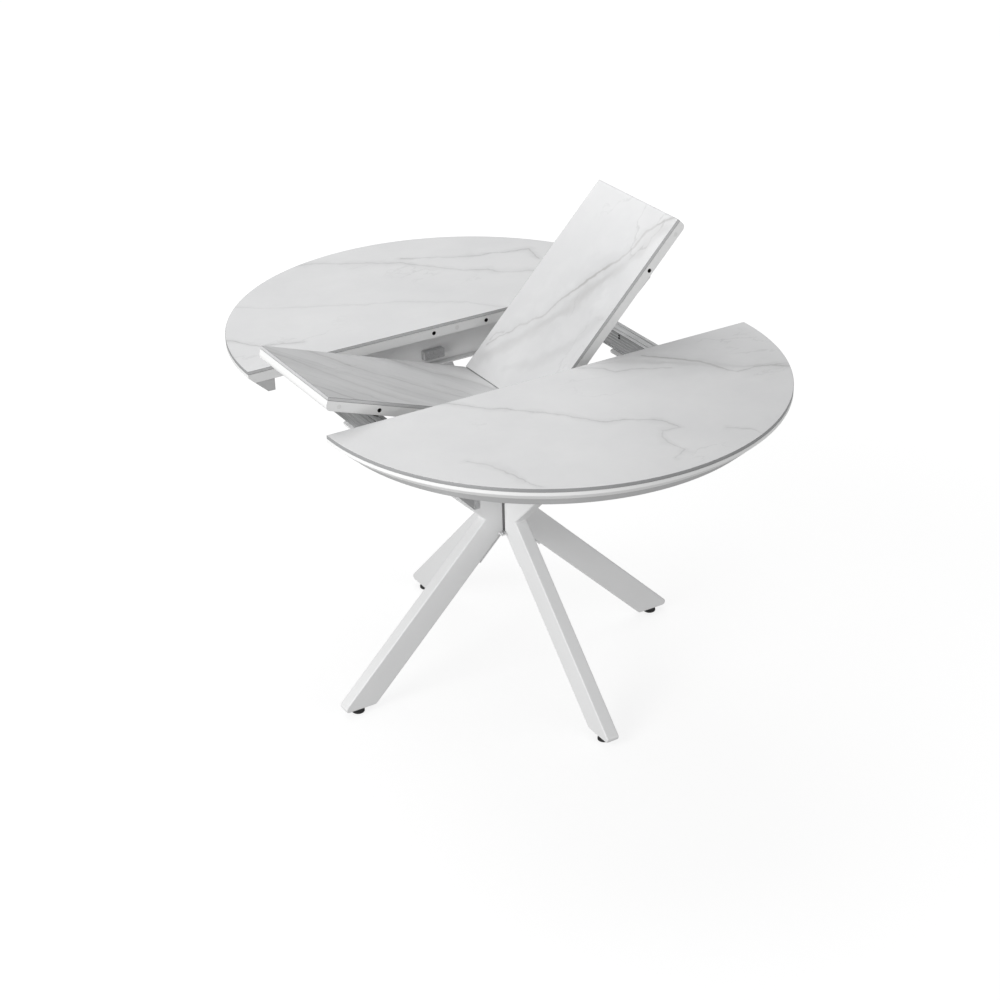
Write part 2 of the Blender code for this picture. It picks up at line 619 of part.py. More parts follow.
def bracket_mesh(bolt_start, bolt_way):
    """Hub bracket: two crossed bent straps and a plate notched for the legs."""
    inner_sum = ELBOW_RADIUS - TUBE_DEPTH / sin(pi / 4) - GAP / sin(pi / 4)
    lower_sum = inner_sum - BRACKET_SHEET / sin(pi / 4)
    core = POST_WIDTH / 2 + POST_PLAY
    crown = inner_sum - core
    strap_end = BRACKET_REACH - BRACKET_SHEET * sin(pi / 4)
    right_half = [(inner_sum - crown, crown), (BRACKET_REACH, inner_sum - BRACKET_REACH),
                  (strap_end, lower_sum - strap_end),
                  (lower_sum - crown + BRACKET_SHEET, crown - BRACKET_SHEET)]
    top = right_half[:2]
    bottom = right_half[2:]
    loop = [(-x, z) for x, z in reversed(top)] + top + bottom
    loop += [(-x, z) for x, z in reversed(bottom)]
    strap = place("bracket", outline_mesh("bracket", [loop], BRACKET_WIDTH), None, None,
                  (0, 0, 0), UPRIGHT_XZ)
    second = place("bracket_second", outline_mesh("bracket_second", [loop], BRACKET_WIDTH),
                   None, None, (0, 0, 0), UPRIGHT_YZ)
    combine(strap, second, "UNION")
    quarter = [(core, CORNER_NOTCH), (CORNER_PLATE, CORNER_NOTCH),
               (CORNER_PLATE, CORNER_PLATE), (CORNER_NOTCH, CORNER_PLATE),
               (CORNER_NOTCH, core)]
    notched = []
    for i in range(4):
        turn = Matrix.Rotation(i * pi / 2, 2)
        notched += [tuple(turn @ Vector(point)) for point in quarter]
    plate = place("bracket_plate", outline_mesh("bracket_plate", [notched], CORNER_PLATE_SHEET),
                  None, None, (0, 0, crown - BRACKET_SHEET / 2))
    combine(strap, plate, "UNION")
    for i in range(4):
        turn = Matrix.Rotation(i * pi / 2, 3, "Z")
        start = turn @ (bolt_start - Vector((0, 0, ELBOW_HEIGHT)))
        way = turn @ bolt_way
        hole = rod(f"bracket_hole_{i}", start - way * 0.002, start + way * 0.006,
                   BOLT_RADIUS + GAP, None)
        combine(strap, hole)
    return settle_upright(strap), crown


def settle_upright(guide):
    """Apply modifiers and the guide's own rotation."""
    turn = guide.matrix_world.to_3x3().to_4x4()
    mesh = settle(guide, "hub_bracket")
    mesh.transform(turn)
    return mesh


def hub():
    """Post, two brackets, leg bolts and plate screws."""
    start, way = bolt_frame()
    mesh, crown = bracket_mesh(start, way)
    centre = (0, 0, ELBOW_HEIGHT)
    place("hub_bracket_lower", mesh, COATED, None, centre)
    place("hub_bracket_upper", mesh, COATED, None, centre, (pi, 0, 0))
    half, height = POST_WIDTH / 2, crown + GAP
    box("hub_post", (-half, -half, ELBOW_HEIGHT + height), (half, half, ELBOW_HEIGHT - height),
        BLACK_STEEL)
    bolt_profile = [(0, BOLT_LENGTH), (BOLT_RADIUS, BOLT_LENGTH), (BOLT_RADIUS, -GAP),
                    (2 * BOLT_RADIUS, -GAP), (2 * BOLT_RADIUS, -BOLT_HEAD), (0, -BOLT_HEAD)]
    bolt_mesh = turned_mesh("hub_bolt", bolt_profile, False, 16)
    screw_profile = [(0, 0.0030), (0.0030, 0.0026), (0.0042, 0.0012), (0.0042, 0), (0, 0)]
    screw_mesh = turned_mesh("hub_screw", screw_profile, False, 16)
    plate_top = ELBOW_HEIGHT + crown - (BRACKET_SHEET - CORNER_PLATE_SHEET) / 2 + GAP
    for i in range(4):
        turn = Matrix.Rotation(i * pi / 2, 3, "Z")
        direction = turn @ way
        angle = atan2(direction.y, direction.x)
        place(f"hub_bolt_{i + 1}", bolt_mesh, BLACK_STEEL, None, turn @ start,
              (0, pi / 4, angle))
        corner = turn @ Vector((SCREW_FROM_CENTRE, SCREW_FROM_CENTRE, plate_top))
        place(f"hub_screw_{i + 1}", screw_mesh, STEEL, None, corner)


near_home = half_top("near_top", -1)
far_home = half_top("far_top", 1)
top_runners(near_home, "near", -1, -1)
top_runners(far_home, "far", 1, 1)
near_dowels(near_home)
leaf()
pivot_rod()
slide_rails()
cross_members()
legs()
hub()
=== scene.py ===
"""Looks of the extending dining table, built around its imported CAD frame."""
from math import cos, pi, radians, sin, tan

import bmesh
import bpy
from mathutils import Matrix, Vector
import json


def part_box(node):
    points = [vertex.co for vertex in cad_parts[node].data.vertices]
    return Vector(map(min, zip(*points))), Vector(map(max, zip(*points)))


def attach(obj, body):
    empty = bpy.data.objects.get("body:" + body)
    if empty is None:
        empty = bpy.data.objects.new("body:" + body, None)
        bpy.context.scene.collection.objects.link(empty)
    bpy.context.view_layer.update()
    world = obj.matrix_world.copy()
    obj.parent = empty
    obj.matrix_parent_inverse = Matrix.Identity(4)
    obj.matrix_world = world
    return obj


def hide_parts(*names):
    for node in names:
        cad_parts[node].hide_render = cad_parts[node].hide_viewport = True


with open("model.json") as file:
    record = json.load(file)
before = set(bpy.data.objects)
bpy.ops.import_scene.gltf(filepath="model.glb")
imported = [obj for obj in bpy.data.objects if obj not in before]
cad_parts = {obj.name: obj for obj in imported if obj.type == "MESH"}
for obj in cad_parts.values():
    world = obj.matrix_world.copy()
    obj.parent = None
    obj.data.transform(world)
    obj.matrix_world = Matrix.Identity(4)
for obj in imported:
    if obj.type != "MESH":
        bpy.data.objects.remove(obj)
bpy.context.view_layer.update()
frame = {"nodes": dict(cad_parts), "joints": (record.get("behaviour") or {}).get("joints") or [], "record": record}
nodes = frame["nodes"]
joints = {joint["name"]: joint for joint in frame["joints"]}
behaviour = frame["record"]["behaviour"]
body_of = {node: body for body, names in behaviour["bodies"].items() for node in names}
slot_of = {row["node"]: row["material_slot"] for row in frame["record"]["subparts"]}

BASE, NEAR, FAR, LEFT, RIGHT = "base", "near_top", "far_top", "leaf_left", "leaf_right"

# ---------------------------------------------------------------- where things are
PIVOT = Vector(joints["leaf_tilt"]["pos_m"])
FOLD_LINE = Vector(joints["leaf_fold"]["pos_m"])
TILT = radians(joints["leaf_tilt"]["range_deg"][1])
FOLD = TILT * behaviour["couplings"][0]["ratio"]
TURN_LEFT = Matrix.Rotation(TILT, 4, "Y")
TURN_RIGHT = Matrix.Rotation(TILT - FOLD, 4, "Y")
LEFT_HOME = Matrix.Translation(PIVOT) @ TURN_LEFT @ Matrix.Translation(-PIVOT)
FLAT_FOLD = LEFT_HOME.inverted() @ FOLD_LINE
RIGHT_HOME = Matrix.Translation(FOLD_LINE) @ TURN_RIGHT @ Matrix.Translation(-FLAT_FOLD)
HOME = {LEFT: LEFT_HOME, RIGHT: RIGHT_HOME}

STONE_LOW, STONE_HIGH = (corner.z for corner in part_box("near_top_stone"))
BOARD_LOW, BOARD_HIGH = (corner.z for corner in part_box("near_top_board"))
TOP_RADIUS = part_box("near_top_stone")[1].x
NEAR_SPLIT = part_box("near_top_stone")[1].y
FAR_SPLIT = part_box("far_top_stone")[0].y
SKIRT_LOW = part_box("near_top_apron")[0].z
HALF_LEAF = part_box("leaf_stone_left")[1].y


# ---------------------------------------------------------------- materials
class Finish:
    """A node material, with short calls for adding and joining its nodes."""

    def __init__(self, name, roughness, metallic=0.0, **shader):
        self.material = bpy.data.materials.new(name)
        self.material.use_nodes = True
        self.tree = self.material.node_tree
        self.tree.nodes.clear()
        output = self.tree.nodes.new("ShaderNodeOutputMaterial")
        self.shader = self.tree.nodes.new("ShaderNodeBsdfPrincipled")
        self.tree.links.new(self.shader.outputs[0], output.inputs["Surface"])
        self.shader.inputs["Roughness"].default_value = roughness
        self.shader.inputs["Metallic"].default_value = metallic
        for socket, value in shader.items():
            self.shader.inputs[socket.replace("_", " ")].default_value = value
        coordinates = self.tree.nodes.new("ShaderNodeTexCoord")
        self.place = coordinates.outputs["Object"]

    def join(self, value, socket):
        """Link an output to a socket, or set the socket to a plain value."""
        if isinstance(value, bpy.types.NodeSocket):
            self.tree.links.new(value, socket)
        else:
            socket.default_value = value

    def vector(self, operation, one, two=None, out=0):
        """A vector operation; out is "Value" where it gives a number."""
        node = self.tree.nodes.new("ShaderNodeVectorMath")
        node.operation = operation
        self.join(one, node.inputs[0])
        if two is not None:
            self.join(two, node.inputs["Scale" if operation == "SCALE" else 1])
        return node.outputs[out]

    def maths(self, operation, one, two=0.0, clamp=False):
        node = self.tree.nodes.new("ShaderNodeMath")
        node.operation = operation
        node.use_clamp = clamp
        self.join(one, node.inputs[0])
        self.join(two, node.inputs[1])
        return node.outputs[0]

    def ramp(self, value, low, high, to_low, to_high, smooth=False):
        """The value's range low to high moved onto another range."""
        node = self.tree.nodes.new("ShaderNodeMapRange")
        node.interpolation_type = "SMOOTHSTEP" if smooth else "LINEAR"
        for socket, number in zip(node.inputs[:5], (value, low, high, to_low, to_high)):
            self.join(number, socket)
        return node.outputs[0]

    def moved(self, rotation=(0, 0, 0), location=(0, 0, 0), scale=(1, 1, 1)):
        """Object coordinates turned, moved and stretched."""
        node = self.tree.nodes.new("ShaderNodeMapping")
        self.join(self.place, node.inputs["Vector"])
        node.inputs["Rotation"].default_value = rotation
        node.inputs["Location"].default_value = location
        node.inputs["Scale"].default_value = scale
        return node.outputs[0]

    def noise(self, place, scale, detail=3.0, rough=0.5, colour=False):
        node = self.tree.nodes.new("ShaderNodeTexNoise")
        self.join(place, node.inputs["Vector"])
        node.inputs["Scale"].default_value = scale
        node.inputs["Detail"].default_value = detail
        node.inputs["Roughness"].default_value = rough
        return node.outputs["Color" if colour else "Fac"]

    def mix(self, share, one, two):
        """Colour between two colours."""
        node = self.tree.nodes.new("ShaderNodeMix")
        node.data_type = "RGBA"
        self.join(share, node.inputs[0])
        for colour, socket in ((one, node.inputs[6]), (two, node.inputs[7])):
            self.join(colour if isinstance(colour, bpy.types.NodeSocket) else (*colour, 1), socket)
        return node.outputs[2]

    def colour(self, value):
        value = value if isinstance(value, bpy.types.NodeSocket) else (*value, 1)
        self.join(value, self.shader.inputs["Base Color"])

    def roughness(self, value):
        self.join(value, self.shader.inputs["Roughness"])

    def bump(self, height, strength, distance):
        node = self.tree.nodes.new("ShaderNodeBump")
        node.inputs["Strength"].default_value = strength
        node.inputs["Distance"].default_value = distance
        self.join(height, node.inputs["Height"])
        self.join(node.outputs[0], self.shader.inputs["Normal"])


# Veins: a line through points in metres, its width, its depth of colour and its warmth
HALF_VEINS = [
    # near half: the long middle vein and the hook it ends in
    ([(-0.25, -0.17), (-0.13, -0.29), (-0.09, -0.34), (-0.03, -0.41), (0.03, -0.44), (0.07, -0.48),
      (0.09, -0.52)], 0.0042, 0.46, 0.15),
    ([(0.09, -0.52), (0.05, -0.515), (0.035, -0.535), (0.03, -0.56), (0.04, -0.60), (0.0, -0.62)],
     0.0050, 0.40, 0.10),
    # near half: the pair of veins that runs to the right end of the split
    ([(0.07, -0.18), (0.11, -0.21), (0.12, -0.24), (0.17, -0.25), (0.23, -0.28)],
     0.0050, 0.36, 0.25),
    ([(0.22, -0.20), (0.28, -0.26), (0.30, -0.29), (0.32, -0.34), (0.34, -0.37), (0.38, -0.375),
      (0.45, -0.41)], 0.0060, 0.52, 0.25),
    ([(0.16, -0.20), (0.26, -0.27), (0.36, -0.36), (0.44, -0.40)], 0.0240, 0.24, 0.35),
    ([(-0.33, -0.42), (-0.30, -0.46), (-0.29, -0.53), (-0.27, -0.58)], 0.0045, 0.42, 0.15),
    ([(0.16, -0.57), (0.19, -0.60), (0.20, -0.63)], 0.0035, 0.36, 0.10),
    # far half
    ([(-0.22, 0.68), (-0.12, 0.64), (0.05, 0.53), (0.11, 0.46), (0.15, 0.42), (0.20, 0.40),
      (0.21, 0.37), (0.28, 0.33)], 0.0055, 0.40, 0.20),
    ([(0.06, 0.55), (0.18, 0.50), (0.28, 0.46), (0.34, 0.45), (0.33, 0.38)], 0.0050, 0.42, 0.20),
    ([(-0.40, 0.52), (-0.33, 0.47), (-0.12, 0.36), (0.06, 0.25), (0.12, 0.17)],
     0.0040, 0.20, 0.20),
    ([(-0.50, 0.39), (-0.47, 0.355), (-0.42, 0.285), (-0.33, 0.25)], 0.0045, 0.36, 0.10),
]
# Leaf panels: X is the distance from the fold, Y is the way the tops slide
RIGHT_VEINS = [
    ([(0.50, -0.13), (0.45, -0.085), (0.41, -0.08), (0.36, -0.06), (0.27, -0.01), (0.18, 0.035),
      (0.14, 0.08), (0.11, 0.10), (0.07, 0.13)], 0.0060, 0.46, 0.45),
    ([(0.17, 0.05), (0.155, 0.065), (0.14, 0.08)], 0.0120, 0.34, 0.60),
    ([(0.11, 0.11), (0.10, 0.126), (0.08, 0.13)], 0.0140, 0.34, 0.70),
    ([(0.46, -0.12), (0.34, -0.08), (0.22, -0.02), (0.12, 0.05), (0.04, 0.12)],
     0.0340, 0.26, 0.60),
    ([(0.24, -0.13), (0.15, -0.09), (0.09, -0.04), (0.04, 0.03)], 0.0260, 0.15, 0.40),
]
LEFT_VEINS = [
    ([(-0.40, 0.15), (-0.29, 0.03), (-0.18, -0.05), (-0.10, -0.08)], 0.0090, 0.36, 0.30),
    ([(-0.50, 0.12), (-0.38, -0.05), (-0.29, -0.15)], 0.0120, 0.30, 0.25),
    ([(-0.20, 0.15), (-0.12, 0.08), (-0.05, 0.05), (0.0, 0.0)], 0.0100, 0.30, 0.30),
    ([(-0.16, 0.0), (-0.12, -0.03), (-0.11, -0.05)], 0.0060, 0.45, 0.20),
]
STONE_WHITE, STONE_CLOUD = (0.780, 0.782, 0.785), (0.705, 0.708, 0.715)
VEIN_GREY, VEIN_TAN = (0.300, 0.302, 0.305), (0.420, 0.375, 0.330)


def stone(name, veins, turn=0.0, origin=(0, 0, 0), streaks=0.0, shade=1.0):
    """Satin white slab: drawn veins that wander, hairlines, soft clouding and streaks.

    On the half tops the pattern lies in the object's own X and Y. On a leaf panel, turn and
    origin bring it back to the flat panel, with X measured from the fold.
    """
    finish = Finish(name, 0.36)
    place = finish.place
    if turn:
        # a panel's own flat coordinates, measured from the fold, whichever way it stands
        finish.place = finish.vector("SUBTRACT", place, origin)
        place = finish.moved(rotation=(0, turn, 0))
    flat = finish.vector("MULTIPLY", place, (1, 1, 0))
    wander = finish.vector("SUBTRACT", finish.noise(flat, 7.0, 5.0, 0.55, True), (0.5, 0.5, 0.5))
    slow = finish.vector("ADD", flat, finish.vector("SCALE", wander, 0.045))
    fine = finish.vector("SUBTRACT", finish.noise(flat, 38.0, 3.0, 0.6, True), (0.5, 0.5, 0.5))
    warped = finish.vector("ADD", slow, finish.vector("SCALE", fine, 0.012))
    warped = finish.vector("MULTIPLY", warped, (1, 1, 0))
    swell = finish.noise(flat, 12.0, 3.0, 0.6)
    width = finish.ramp(swell, 0.35, 0.65, 0.35, 1.9)
    depth = finish.ramp(finish.noise(flat, 5.0, 4.0, 0.6), 0.35, 0.65, 0.45, 1.15)
    dark, warm = 0.0, 0.0
    for points, vein_width, vein_depth, warmth in veins:
        nearest = None
        for start, end in zip(points, points[1:]):
            along = Vector((end[0] - start[0], end[1] - start[1], 0))
            offset = finish.vector("SUBTRACT", warped, (start[0], start[1], 0))
            share = finish.maths("ADD", finish.vector(
                "DOT_PRODUCT", offset, tuple(along / along.length_squared), "Value"), 0.0, True)
            foot = finish.vector("SCALE", tuple(along), share)
            distance = finish.vector("DISTANCE", offset, foot, "Value")
            nearest = distance if nearest is None else finish.maths("MINIMUM", nearest, distance)
        relative = finish.maths("DIVIDE", nearest, finish.maths("MULTIPLY", width, vein_width))
        core = finish.ramp(relative, 0.0, 0.60, vein_depth * 0.85, 0.0, True)
        halo = finish.ramp(relative, 0.0, 3.2, vein_depth * 0.42, 0.0, True)
        total = finish.maths("ADD", core, halo)
        dark = total if dark == 0.0 else finish.maths("MAXIMUM", dark, total)
        warm = finish.maths("MAXIMUM", finish.maths("MULTIPLY", total, warmth), warm)
    dark = finish.maths("MULTIPLY", dark, depth, True)
    stretched = finish.vector("MULTIPLY", warped, (1.6, 3.0, 0))
    ridge = finish.maths("SUBTRACT", finish.noise(stretched, 2.4, 6.0, 0.55), 0.5)
    ridge = finish.maths("ABSOLUTE", ridge)
    hair = finish.ramp(ridge, 0.0, 0.012, 0.22, 0.0, True)
    where = finish.ramp(finish.noise(flat, 3.1, 2.0), 0.50, 0.68, 0.0, 1.0, True)
    hair = finish.maths("MULTIPLY", hair, where)
    cloud = finish.ramp(finish.noise(warped, 4.2, 6.0, 0.6), 0.30, 0.75, 0.0, 1.0)
    # shade below 1 darkens the white and the clouding as painted shade
    ground = finish.mix(cloud, tuple(shade * c for c in STONE_WHITE),
                        tuple(shade * c for c in STONE_CLOUD))
    if streaks:
        # long soft bands and finer lines inside them, slanting across the panel
        length = finish.vector("DOT_PRODUCT", warped, (0.72, -0.69, 0), "Value")
        across = finish.vector("DOT_PRODUCT", warped, (0.69, 0.72, 0), "Value")

        def slanted(along_scale, across_scale):
            return finish.vector("ADD", finish.vector("SCALE", (along_scale, 0, 0), length),
                                 finish.vector("SCALE", (0, across_scale, 0), across))

        band = finish.noise(slanted(1.6, 14.0), 1.0, 3.0, 0.6)
        line = finish.noise(slanted(2.5, 70.0), 1.0, 4.0, 0.65)
        line = finish.ramp(line, 0.50, 0.66, 0.0, 1.0, True)
        band = finish.ramp(band, 0.38, 0.66, 0.12, 1.0, True)
        share = finish.maths("MULTIPLY", finish.maths("ADD", finish.maths(
            "MULTIPLY", line, 0.6), 0.4), finish.maths("MULTIPLY", band, streaks), True)
        ground = finish.mix(share, ground, VEIN_GREY)
    speck = finish.ramp(finish.noise(flat, 620.0, 2.0, 0.7), 0.62, 0.74, 0.0, 0.10)
    ground = finish.mix(speck, ground, VEIN_GREY)
    vein = finish.mix(warm, VEIN_GREY, VEIN_TAN)
    painted = finish.mix(finish.maths("ADD", dark, hair, True), ground, vein)
    finish.colour(painted)
    finish.roughness(finish.ramp(finish.noise(flat, 90.0, 4.0), 0.3, 0.7, 0.32, 0.42))
    finish.bump(finish.noise(flat, 900.0, 3.0, 0.6), 0.08, 0.0002)
    return finish.material


def coated(name, tone, roughness, scale, strength, distance, cloudiness=0.03):
    """Painted surface: orange peel in the coat and a trace of unevenness."""
    finish = Finish(name, roughness)
    patch = finish.ramp(finish.noise(finish.place, 9.0, 4.0, 0.6), 0.3, 0.7, 0.0, 1.0)
    darker = tuple(channel * (1 - cloudiness) for channel in tone)
    grain = finish.ramp(finish.noise(finish.place, scale * 0.4, 2.0), 0.35, 0.65, 0.0, 0.35)
    finish.colour(finish.mix(grain, finish.mix(patch, tone, darker), darker))
    finish.roughness(finish.ramp(finish.noise(finish.place, 60.0, 3.0), 0.3, 0.7,
                                 roughness - 0.04, roughness + 0.05))
    finish.bump(finish.noise(finish.place, scale, 3.0, 0.55), strength, distance)
    return finish.material


def metal(name, tone, roughness, stretch, scale=420.0, strength=0.10):
    """Metal drawn along one axis: fine long scratches in tone, gloss and relief."""
    finish = Finish(name, roughness, 1.0)
    lines = finish.noise(finish.moved(scale=stretch), scale, 4.0, 0.65)
    stain = finish.ramp(finish.noise(finish.place, 26.0, 5.0, 0.6), 0.3, 0.7, 0.0, 1.0)
    dull = tuple(channel * 0.82 for channel in tone)
    bright = tuple(min(1.0, channel * 1.10) for channel in tone)
    lined = finish.mix(finish.ramp(lines, 0.35, 0.65, 0.0, 1.0), dull, bright)
    finish.colour(finish.mix(finish.maths("MULTIPLY", stain, 0.35), lined, dull))
    finish.roughness(finish.ramp(lines, 0.3, 0.7, roughness - 0.07, roughness + 0.10))
    finish.bump(lines, strength, 0.0001)
    return finish.material


def wood(name, pale, dark):
    """Turned beech: growth lines and short dark flecks along the grain."""
    finish = Finish(name, 0.55)
    rings = finish.noise(finish.moved(scale=(1, 0.05, 1)), 900.0, 4.0, 0.6)
    fleck = finish.ramp(finish.noise(finish.moved(scale=(1, 0.25, 1)), 1500.0, 2.0),
                        0.58, 0.66, 0.0, 0.5)
    body = finish.mix(finish.ramp(rings, 0.35, 0.65, 0.0, 1.0), pale, dark)
    finish.colour(finish.mix(fleck, body, tuple(channel * 0.5 for channel in dark)))
    finish.bump(rings, 0.25, 0.0002)
    return finish.material


HALF_STONE = stone("stone_half_tops", HALF_VEINS)
# the left panel's ground is darkened by 0.88 as painted shade, besides its real streaks
LEFT_STONE = stone("stone_left_panel", LEFT_VEINS, -TILT, tuple(FOLD_LINE), 0.55, 0.88)
RIGHT_STONE = stone("stone_right_panel", RIGHT_VEINS, FOLD - TILT, tuple(FOLD_LINE))
SLAB_EDGE = coated("stone_edge", (0.600, 0.602, 0.606), 0.30, 700.0, 0.15, 0.0002, 0.12)
# rim and eased top edges: the stone edge grey darkened as painted shade
RIM_STONE_SHADED = coated("stone_rim_painted_shade", (0.355, 0.358, 0.363), 0.24, 700.0, 0.15, 0.0002, 0.12)
# near black inside the dowel holes: painted shade in the recesses
BORE_SHADE = coated("bare_bore_painted_shade", (0.030, 0.029, 0.028), 0.80, 1400.0, 0.20, 0.0002, 0.3)
LACQUER = coated("lacquered_board", (0.850, 0.852, 0.850), 0.32, 900.0, 0.015, 0.0001, 0.015)
# the skirt's white lacquer, darkened to grey as painted shade under the rim
SKIRT_SHADED_LACQUER = coated("skirt_lacquer_painted_shade", (0.540, 0.542, 0.544), 0.32, 1500.0, 0.008, 0.0001, 0.01)
EDGE_BAND = coated("edge_banding", (0.850, 0.852, 0.850), 0.34, 420.0, 0.06, 0.0002)
POWDER = coated("powder_coat", (0.800, 0.802, 0.804), 0.38, 850.0, 0.22, 0.0003)
ALUMINIUM = metal("anodised_rail", (0.640, 0.645, 0.650), 0.36, (1, 0.02, 1))
STEEL = metal("zinc_plate", (0.600, 0.602, 0.610), 0.34, (1, 0.12, 1), 300.0, 0.06)
BLACK_METAL = metal("black_hardware", (0.050, 0.050, 0.052), 0.38, (1, 1, 0.3), 500.0, 0.10)
BLACK_PLASTIC = coated("black_moulding", (0.022, 0.022, 0.023), 0.46, 1400.0, 0.20, 0.0002, 0.3)
WHITE_PLASTIC = coated("white_moulding", (0.760, 0.762, 0.755), 0.45, 1100.0, 0.10, 0.0002)
# the hub post in dark grey: painted shade for the seam between the legs
POST_SHADE_PAINT = coated("hub_post_painted_shade", (0.170, 0.170, 0.172), 0.50, 900.0, 0.15, 0.0002)
BEECH = wood("beech", (0.640, 0.450, 0.275), (0.500, 0.320, 0.175))
SLOT_MATERIAL = {
    "sintered_stone": HALF_STONE, "white_lacquer": LACQUER, "white_powder_coat": POWDER,
    "anodised_aluminium": ALUMINIUM, "zinc_steel": STEEL, "black_plastic": BLACK_PLASTIC,
    "white_plastic": WHITE_PLASTIC, "blackened_steel": BLACK_METAL, "beech_dowel": BEECH,
}


# ---------------------------------------------------------------- shapes
def shape(name, verts, faces):
    """A mesh object with its faces turned outwards."""
    mesh = bpy.data.meshes.new(name)
    mesh.from_pydata([tuple(v) for v in verts], [], faces)
    work = bmesh.new()
    work.from_mesh(mesh)
    bmesh.ops.recalc_face_normals(work, faces=work.faces)
    work.to_mesh(mesh)
    work.free()
    thing = bpy.data.objects.new(name, mesh)
    bpy.context.scene.collection.objects.link(thing)
    return thing


def prism(name, loop, low, high, axes="xyz"):
    """An outline drawn in two axes and run along the third."""
    count = len(loop)
    order = [axes.index(axis) for axis in "xyz"]
    raw = [(a, b, low) for a, b in loop] + [(a, b, high) for a, b in loop]
    verts = [[point[i] for i in order] for point in raw]
    faces = [list(range(count))[::-1], list(range(count, 2 * count))]
    faces += [[i, (i + 1) % count, count + (i + 1) % count, count + i] for i in range(count)]
    return shape(name, verts, faces)


def block(name, low, high):
    """A block between two corners."""
    return prism(name, [(low[0], low[1]), (high[0], low[1]), (high[0], high[1]),
                        (low[0], high[1])], low[2], high[2])


def turned(name, profile, start, way, steps=48):
    """A profile of (distance along, radius) turned about a line."""
    way = Vector(way).normalized()
    side = way.orthogonal().normalized()
    other = way.cross(side)
    verts, faces = [], []
    for along, radius in profile:
        for i in range(steps):
            angle = 2 * pi * i / steps
            spoke = side * (cos(angle) * radius) + other * (sin(angle) * radius)
            verts.append(Vector(start) + way * along + spoke)
    for ring in range(len(profile) - 1):
        for i in range(steps):
            a, b = ring * steps + i, ring * steps + (i + 1) % steps
            faces.append([a, b, b + steps, a + steps])
    last = (len(profile) - 1) * steps
    faces += [list(range(steps))[::-1], list(range(last, last + steps))]
    return shape(name, verts, faces)


def half_disc(name, rings, split, sign, steps=180):
    """Stacked half circles, (radius, height) from top to bottom, cut at the split."""
    verts, faces = [], []
    count = steps + 1
    for radius, height in rings:
        for i in range(count):
            angle = pi * i / steps
            verts.append((radius * cos(angle), split + sign * radius * sin(angle), height))
    for ring in range(len(rings) - 1):
        for i in range(steps):
            a = ring * count + i
            faces.append([a, a + 1, a + 1 + count, a + count])
    last = (len(rings) - 1) * count
    faces += [list(range(count)), list(range(last, last + count))]
    faces.append([ring * count for ring in range(len(rings))]
                 + [ring * count + steps for ring in reversed(range(len(rings)))])
    return shape(name, verts, faces)


def half_ring(name, profile, split, sign, steps=180):
    """A closed profile of (radius, height) swept round half a turn."""
    verts, faces = [], []
    width = len(profile)
    for i in range(steps + 1):
        angle = pi * i / steps
        verts += [(radius * cos(angle), split + sign * radius * sin(angle), height)
                  for radius, height in profile]
    for i in range(steps):
        for j in range(width):
            a, b = i * width + j, i * width + (j + 1) % width
            faces.append([a, b, b + width, a + width])
    faces += [list(range(width)), list(range(steps * width, (steps + 1) * width))]
    return shape(name, verts, faces)


def carve(thing, cutters):
    """Take shapes away from a piece for good."""
    for cutter in cutters:
        change = thing.modifiers.new("carve", "BOOLEAN")
        change.operation = "DIFFERENCE"
        change.solver = "EXACT"
        change.object = cutter
    bpy.context.view_layer.update()
    result = thing.evaluated_get(bpy.context.evaluated_depsgraph_get())
    mesh = bpy.data.meshes.new_from_object(result)
    thing.modifiers.clear()
    thing.data = mesh
    for cutter in cutters:
        bpy.data.objects.remove(cutter, do_unlink=True)


WELD_DISTANCE = 1e-5


def soften(thing, width, segments=2, angle=28.0, weld=False, edge_slot=-1):
    """Small rounded edges, and shading that stays flat on the flats."""
    if weld:
        thing.modifiers.new("weld", "WELD").merge_threshold = WELD_DISTANCE
    if width:
        bevel = thing.modifiers.new("edges", "BEVEL")
        bevel.width = width
        bevel.segments = segments
        bevel.limit_method = "ANGLE"
        bevel.angle_limit = radians(angle)
        bevel.use_clamp_overlap = True
        bevel.material = edge_slot
    for polygon in thing.data.polygons:
        polygon.use_smooth = True
    normals = thing.modifiers.new("normals", "WEIGHTED_NORMAL")
    normals.keep_sharp = True


def finished(thing, body, slot, material, *replaced):
    """Give a piece its material, its body, and the CAD nodes it stands for."""
    if not thing.data.materials:
        thing.data.materials.append(material)
    if body in HOME:
        thing.data.transform(HOME[body])
    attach(thing, body)
    if replaced:
        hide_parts(*replaced)


def edge_material(thing, face, edge):
    """The slab's upper face gets the pattern, its rim and arris a darker tone of painted shade, the rest an edge
    tone.
    """
    for material in (face, edge, RIM_STONE_SHADED):
        thing.data.materials.append(material)
    for polygon in thing.data.polygons:
        upright = abs(polygon.normal.z) < 0.1
        curved = upright and min(abs(polygon.normal.x), abs(polygon.normal.y)) > 1e-5
        polygon.material_index = 0 if polygon.normal.z > 0.9 else 2 if curved else 1


